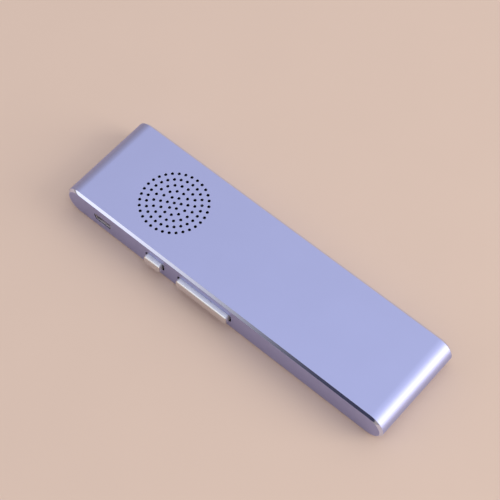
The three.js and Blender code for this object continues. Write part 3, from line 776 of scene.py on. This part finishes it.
def buildShell():
    made = shellSkin()
    cutAway(made, hollowTool(), windowTool(), *map(keySlotTool, sideKeyNodes), socketSlotTool())
    cutAway(made, throughDrills(), mouthDrills())
    overlap = shell["fitGap"]
    fuse(made, postField("pillars", shell["pillarRadius"], boardTop, backInside + overlap))
    low = boardTop - shell["overrun"]
    cutAway(made, postField("pillar_bores", shell["boreRadius"], low, boardTop + shell["boreDepth"]))
    smoothShade(made)
    standFor(made, "root", "anodised_shell", "back_housing")


def screwTemplate():
    # One screw, head down, with its thread as stacked ridges
    low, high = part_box(screwNodes[0])
    shoulder = low.z + screw["headHeight"]
    head, core, pitch = screw["headRadius"], screw["coreRadius"], screw["threadPitch"]
    rim = screw["headRound"]
    third = rim / 3  # one point between its ends rounds the rim
    profile = [(0, low.z), (head - rim, low.z), (head - third, low.z + third), (head, low.z + rim)]
    profile += [(head, shoulder), (core, shoulder)]
    ridges = int((high.z - shoulder) / pitch) - 1
    for k in range(ridges):
        start = shoulder + pitch * (k + 0.5)
        profile += [(core, start), (screw["threadRadius"], start + pitch / 2)]
    profile += [(core, high.z - pitch / 2), (core / 2, high.z), (0, high.z)]
    steel = finishes["steel"]
    made = turnedObject("screw_template", profile, (0, 0), [steel], screw["sides"])
    length, width = screw["slotLength"], screw["slotWidth"]
    corner = width * screw["slotCornerShare"]
    levels = (low.z - screw["slotDepth"], low.z + screw["slotDepth"])
    for size in ((length, width), (width, length)):
        outline = roundedOutline(*size, corner, screw["slotSteps"])
        cutAway(made, ringsObject("screw_slot", [flatRing(outline, 0, 0, z) for z in levels], [steel]))
    return made


def buildScrews():
    template = screwTemplate()
    field = Field("screws", {
        "Screw": ("NodeSocketObject", template),
        "Finish": ("NodeSocketMaterial", finishes["steel"]),
    })
    values = {"Object": field.size("Screw")}
    source = field.graph.wire("GeometryNodeObjectInfo", values=values, output="Geometry")
    values = {"Points": field.size("Points"), "Instance": source}
    copies = field.graph.wire("GeometryNodeInstanceOnPoints", values=values)
    points = [(middleOf(node).x, middleOf(node).y, 0) for node in screwNodes]
    made = field.build("frame_screws", points, copies, "Finish")
    bpy.data.objects.remove(template)
    smoothShade(made, screw["sharpAngle"])
    standFor(made, "root", "steel", *screwNodes)


# The side keys
sideKeyNodes = ["power_key", "volume_rocker"]
sideKeys = {
    "corner": 0.9 * mm,
    "crownInset": 0.35 * mm,
    "crownReach": 0.5 * mm,
    "crownSteps": 8,
    "standOut": 1.9 * mm,
    "gap": 0.4 * mm,
    "endGap": 0.7 * mm,
    "slotCorner": 0.9 * mm,
    "slotTrim": 0.32 * mm,
    "flangeLap": 0.7 * mm,
    "flangeThickness": 0.7 * mm,
    "flangeEase": 0.1 * mm,
    "ribRadius": 0.6 * mm,
    "ribSteps": 32,
    "tolerance": 0.01 * mm,
    "sharpAngle": 40,
}


def capSize(key):
    # The cap as it is packed: the node's box is its flange, which laps behind the slot by the lap
    # at each end, and by half of it above and below.
    low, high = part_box(key)
    lap = sideKeys["flangeLap"]
    return high.x - low.x - 2 * (sideKeys["endGap"] + lap), high.z - low.z - 2 * sideKeys["gap"] - lap


def crownPath():
    # (inset, reach) pairs: the cap rounds over from its sides to its face.
    points = []
    for k in range(sideKeys["crownSteps"] + 1):
        turn = math.pi / 2 * k / sideKeys["crownSteps"]
        inset = sideKeys["crownInset"] * (1 - math.cos(turn))
        points.append((inset, sideKeys["standOut"] - sideKeys["crownReach"] * (1 - math.sin(turn))))
    return points


def buildSideKey(key):
    low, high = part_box(key)
    middle = middleOf(key)
    flange = (high.x - low.x, high.z - low.z, sideKeys["corner"] + sideKeys["gap"])
    cap = (*capSize(key), sideKeys["corner"])
    front = keySide + shell["sideWall"] + shell["fitGap"]
    back = front + sideKeys["flangeThickness"]
    ease = sideKeys["flangeEase"]
    sideLook, faceLook, flangeShadeLook = range(3)
    rings = []
    slots = []

    def addRing(form, inset, y, slot):
        length, height, corner = form
        outline = roundedOutline(length - 2 * inset, height - 2 * inset, corner - inset)
        rings.append(sideRing(outline, middle.x, y, middle.z))
        slots.append(slot)

    for inset, y in ((ease, back), (0, back - ease), (0, front + ease), (ease, front)):
        addRing(flange, inset, y, flangeShadeLook)
    addRing(cap, 0, front, sideLook)
    for inset, reach in crownPath():
        addRing(cap, inset, keySide - reach, faceLook)
    # The flange shows only through the slot's ends, and is finished black there as painted shade that
    # darkens the end gaps.
    materials = [finishes["bright_key"], keyFace, finishes["black_plastic"]]
    made = ringsObject(key + "_fine", rings, materials, slots)
    # Only the rocker's box reaches in past the flange, to the rib that it tips on.
    if high.y > back + sideKeys["tolerance"]:
        fuse(made, ribTool(middle, back, cap[1]))
    smoothShade(made, sideKeys["sharpAngle"])
    standFor(made, key, "bright_key", key)


def ribTool(middle, y, height):
    # A round bar, half sunk in the flange's back
    outline = arc((0, 0), sideKeys["ribRadius"], 0, math.tau, sideKeys["ribSteps"])[:-1]
    levels = (middle.z - height / 2, middle.z + height / 2)
    return ringsObject("rib", [flatRing(outline, middle.x, y, z) for z in levels], [finishes["bright_key"]])


# The front panel and its two round talk keys
frontPanel = {
    "corner": 4 * mm,
    "cornerSteps": 12,
    "edge": 0.15 * mm,
    "edgeRound": 0.04 * mm,
    "keyGap": 0.3 * mm,
    "soundRadius": 0.5 * mm,
    "holeSides": 72,
    "overrun": 1 * mm,
}
talkKeyNodes = ["talk_key_a", "talk_key_b"]
talkKey = {
    "radius": 6.5 * mm,
    "sink": 0.2 * mm,
    "dish": 0.25 * mm,
    "dishSteps": 12,
    "rimWidth": 0.5 * mm,
    "rimRound": 0.08 * mm,
    "flangeLow": 1.1 * mm,
    "roughness": 0.2,
    "sharpAngle": 25,
}


def easedHole(radius, centre, thickness):
    # A turned cutter through the panel whose mouth is eased on the outer face
    ease = frontPanel["edge"]
    over = frontPanel["overrun"]
    top = thickness + over
    profile = [(0, -over), (radius + ease + over, -over), (radius, ease), (radius, top), (0, top)]
    return turnedObject("hole", profile, centre, [finishes["gloss_panel"]], frontPanel["holeSides"])


def buildPanel():
    low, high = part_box("front_panel")
    length, width, thickness = high - low
    path = chamferPath(frontPanel["edge"], frontPanel["edgeRound"], 0)
    rings = []
    for inset, level in [(0, -thickness)] + path:
        corner = frontPanel["corner"] - inset
        outline = roundedOutline(length - 2 * inset, width - 2 * inset, corner, frontPanel["cornerSteps"])
        rings.append(flatRing(outline, 0, 0, -level))
    made = ringsObject("front_panel_fine", rings, [finishes["gloss_panel"]])
    lamp = middleOf("light_pipe")
    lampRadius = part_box("light_pipe")[1].x - lamp.x + frontPanel["keyGap"]
    holes = [(middleOf(node), talkKey["radius"] + frontPanel["keyGap"]) for node in talkKeyNodes]
    holes += [(lamp, lampRadius), (middleOf("microphone"), frontPanel["soundRadius"])]
    for middle, radius in holes:
        cutAway(made, easedHole(radius, (middle.x, middle.y), thickness))
    smoothShade(made)
    standFor(made, "root", "gloss_panel", "front_panel")


def buildTalkKey(node):
    low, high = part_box(node)
    middle = middleOf(node)
    radius, sink, dish, rim = talkKey["radius"], talkKey["sink"], talkKey["dish"], talkKey["rimRound"]
    inner = radius - talkKey["rimWidth"]
    steps = talkKey["dishSteps"]
    # The face dips like a shallow bowl inside a narrow rim.
    profile = [(inner * k / steps, sink + dish * (1 - (k / steps) ** 2)) for k in range(steps + 1)]
    profile += [(radius - rim * 2, sink), (radius - rim / 2, sink + rim / 2), (radius, sink + rim * 2)]
    flange = (high.x - low.x) / 2
    ledge = talkKey["flangeLow"]
    profile += [(radius, ledge), (flange, ledge), (flange, high.z), (0, high.z)]
    metal = finish(node + "_turned", keySilver, talkKey["roughness"], 1.0, turnedDetail(tuple(middle)))
    made = turnedObject(node + "_fine", profile, (middle.x, middle.y), [metal])
    smoothShade(made, talkKey["sharpAngle"])
    standFor(made, node, "bright_key", node)


# The charging socket
socket = {
    "taper": 0.7 * mm,
    "sheet": 0.25 * mm,
    "lip": 0.07 * mm,
    "gap": 0.12 * mm,
    "blockGap": 0.3 * mm,
    "blockDepth": 1.4 * mm,
    "tongueThickness": 0.6 * mm,
    "tongueWidth": 3.9 * mm,
    "tongueRecess": 0.9 * mm,
    "tongueCorner": 0.2 * mm,
    "tongueNose": 0.12 * mm,
    "contactCount": 5,
    "contactPitch": 0.65 * mm,
    "contactWidth": 0.36 * mm,
    "contactThickness": 0.05 * mm,
    "contactLength": 2.6 * mm,
}


def buildSocketShell():
    low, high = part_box("usb_shell")
    length, height = (high - low).xz
    middle = middleOf("usb_shell")
    sheet, lip, over = socket["sheet"], socket["lip"], shell["overrun"]

    def tube(name, path):
        rings = []
        for inset, y in path:
            outline = socketOutline(length - 2 * inset, height - 2 * inset, socket["taper"])
            rings.append(sideRing(outline, middle.x, y, middle.z))
        return ringsObject(name, rings, [socketSteel])

    made = tube("usb_shell_fine", ((0, high.y), (0, low.y + lip), (lip, low.y)))
    mouth = sheet - lip
    bore = ((sheet, high.y + over), (sheet, low.y + lip), (mouth, low.y), (mouth, low.y - over))
    cutAway(made, tube("bore", bore))
    smoothShade(made)
    standFor(made, "root", "steel", "usb_shell")


def tongueFront():
    # The middle of the tongue's front edge, as x, y and z
    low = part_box("usb_shell")[0]
    middle = middleOf("usb_shell")
    return middle.x, low.y + socket["tongueRecess"], middle.z + socket["sheet"] / 2


def buildTongue():
    # A light moulding: a block that closes the socket's back, and a tongue with an eased nose
    low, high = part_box("usb_shell")
    length, height = (high - low).xz
    middle = middleOf("usb_shell")
    inset = 2 * (socket["sheet"] + socket["blockGap"])
    outline = socketOutline(length - inset, height - inset, socket["taper"])
    levels = (high.y - socket["blockDepth"], high.y)
    block = [sideRing(outline, middle.x, y, middle.z) for y in levels]
    made = ringsObject("usb_tongue_fine", block, [tonguePlastic])
    x, front, level = tongueFront()
    back = high.y - socket["blockDepth"] / 2
    nose = socket["tongueNose"]
    third = nose / 3  # one ring between its ends rounds the nose
    rings = []
    for ease, y in ((nose, front), (third, front + third), (0, front + nose), (0, back)):
        width, thickness = socket["tongueWidth"] - 2 * ease, socket["tongueThickness"] - 2 * ease
        outline = roundedOutline(width, thickness, socket["tongueCorner"] - ease)
        rings.append(sideRing(outline, x, y, level))
    fuse(made, ringsObject("tongue", rings, [tonguePlastic]))
    smoothShade(made)
    standFor(made, "root", "white_plastic", "usb_tongue")


def buildContacts():
    # Flat contacts side by side under the tongue, which begin one thickness behind its nose
    thickness = socket["contactThickness"]
    field = Field("socket_contacts", {
        "Count": ("NodeSocketInt", socket["contactCount"]),
        "Pitch": ("NodeSocketFloat", socket["contactPitch"]),
        "Size": ("NodeSocketVector", (socket["contactWidth"], socket["contactLength"], thickness)),
        "Finish": ("NodeSocketMaterial", finishes["copper"]),
    })
    graph = field.graph
    strip = graph.wire("GeometryNodeMeshCube", values={"Size": field.size("Size")})
    offset = graph.wire("ShaderNodeCombineXYZ", values={"X": field.size("Pitch")})
    line = graph.wire("GeometryNodeMeshLine", values={"Count": field.size("Count"), "Offset": offset})
    copies = graph.wire("GeometryNodeInstanceOnPoints", values={"Points": line, "Instance": strip})
    made = field.build("socket_contacts", [(0, 0, 0)], copies, "Finish")
    x, front, level = tongueFront()
    start = x - socket["contactPitch"] * (socket["contactCount"] - 1) / 2
    y = front + socket["tongueNose"] + thickness + socket["contactLength"] / 2
    z = level - socket["tongueThickness"] / 2 - thickness / 2
    made.data.transform(Matrix.Translation((start, y, z)))
    smoothShade(made)
    standFor(made, "root", "copper")


buildShell()
print("shell built")
for node in sideKeyNodes:
    buildSideKey(node)
buildPanel()
for node in talkKeyNodes:
    buildTalkKey(node)
buildSocketShell()
buildTongue()
buildContacts()
buildScrews()
print("fine pieces built")


# Every other piece keeps its own solid and takes its slot's finish, and the dust mesh takes the cloth
def dressFrame():
    slots = {part["node"]: part["material_slot"] for part in frame["record"]["subparts"]}
    for name, solid in frame["nodes"].items():
        material = dustCloth if name == "dust_mesh" else finishes[slots[name]]
        solid.data.materials.clear()
        solid.data.materials.append(material)


dressFrame()
print("frame dressed")


# Studio: a plain pale floor, a soft sky and one soft box
studio = {
    "floorSize": 6.0,
    "floorDrop": 0.02 * mm,
    "floorColor": (0.685, 0.525, 0.45),
    "floorRoughness": 0.75,
    "cloud": {"Scale": 30},
    "shades": (0.985, 1.015),
}


def paperDetail(graph, shader, color, roughness):
    setColor(graph, shader, noise(graph, objectPlace(graph), studio["cloud"]), color, studio["shades"])


def buildFloor():
    half = studio["floorSize"] / 2
    corners = [(-half, -half), (half, -half), (half, half), (-half, half)]
    bm = bmesh.new()
    bm.faces.new([bm.verts.new((x, y, -studio["floorDrop"])) for x, y in corners])
    material = finish("palePaper", studio["floorColor"], studio["floorRoughness"], 0.0, paperDetail)
    meshObject("floor", bm, [material])


# The sky is brightest overhead and leans a little away from the keys and the speaker.
# On the key side a pale pane stands beside a dark gap.
sky = {
    "lean": (0.12, 0.12, 0.985),
    "stops": [
        (0.0, (0.44, 0.36, 0.29)),
        (0.3, (0.5, 0.42, 0.35)),
        (0.6, (0.61, 0.58, 0.58)),
        (0.8, (0.97, 0.98, 1.01)),
        (1.0, (1.22, 1.28, 1.35)),
    ],
    "pane": (1.26, 1.21, 1.18),
    "gap": (0.055, 0.053, 0.08),
    "paneStart": 21.1,
    "paneStop": 55.0,
    "gapStart": -21.0,
    "edge": 0.1,
    "front": (0.1, 0.3),
    "low": (0.155, 0.195),
    "high": (0.52, 0.7),
}


def buildSky():
    world = bpy.data.worlds.new("softSky")
    scene.world = world
    world.use_nodes = True
    graph = Graph(world.node_tree)
    x, y, z = graph.axes(graph.wire("ShaderNodeTexCoord", output="Generated"))

    def rise(value, low, high):
        # 0 below low, 1 above high, and a soft step between them
        values = {"Value": value, "From Min": low, "From Max": high}
        return graph.wire("ShaderNodeMapRange", {"interpolation_type": "SMOOTHSTEP"}, values)

    def past(degrees):
        # Soft step across an upright plane, turned from the key side toward the speaker end
        turn = math.radians(degrees)
        return rise(x * -math.cos(turn) + y * math.sin(turn), -sky["edge"], sky["edge"])

    lean = sky["lean"]
    tall = x * lean[0] + y * lean[1] + z * lean[2]
    shade = graph.wire("ShaderNodeValToRGB", {"stops": sky["stops"]}, {"Fac": tall})
    front = rise(y * -1, *sky["front"]) * rise(z, *sky["low"]) * (1 - rise(z, *sky["high"]))
    paneStart = past(sky["paneStart"])
    shade = shadeMix(graph, front * (1 - paneStart) * past(sky["gapStart"]), shade, sky["gap"])
    shade = shadeMix(graph, front * paneStart * (1 - past(sky["paneStop"])), shade, sky["pane"])
    background = world.node_tree.nodes["Background"]
    plug(world.node_tree, background.inputs["Color"], shade)
    background.inputs["Strength"].default_value = 1.0


softBox = {
    "direction": (0.85, 0.4, 0.33),
    "distance": 1.5,
    "width": 0.9,
    "height": 1.1,
    "radiance": 4.5,
    "color": (1.0, 0.97, 0.82),
}


def buildSoftBox():
    data = bpy.data.lights.new("softBox", "AREA")
    data.shape = "RECTANGLE"
    data.size = softBox["width"]
    data.size_y = softBox["height"]
    data.color = softBox["color"]
    data.energy = softBox["radiance"] * math.pi * softBox["width"] * softBox["height"]
    lamp = bpy.data.objects.new("softBox", data)
    toward = Vector(softBox["direction"]).normalized()
    lamp.location = toward * softBox["distance"]
    lamp.rotation_euler = toward.to_track_quat("Z", "Y").to_euler()
    scene.collection.objects.link(lamp)


buildFloor()
buildSky()
buildSoftBox()
print("studio built")
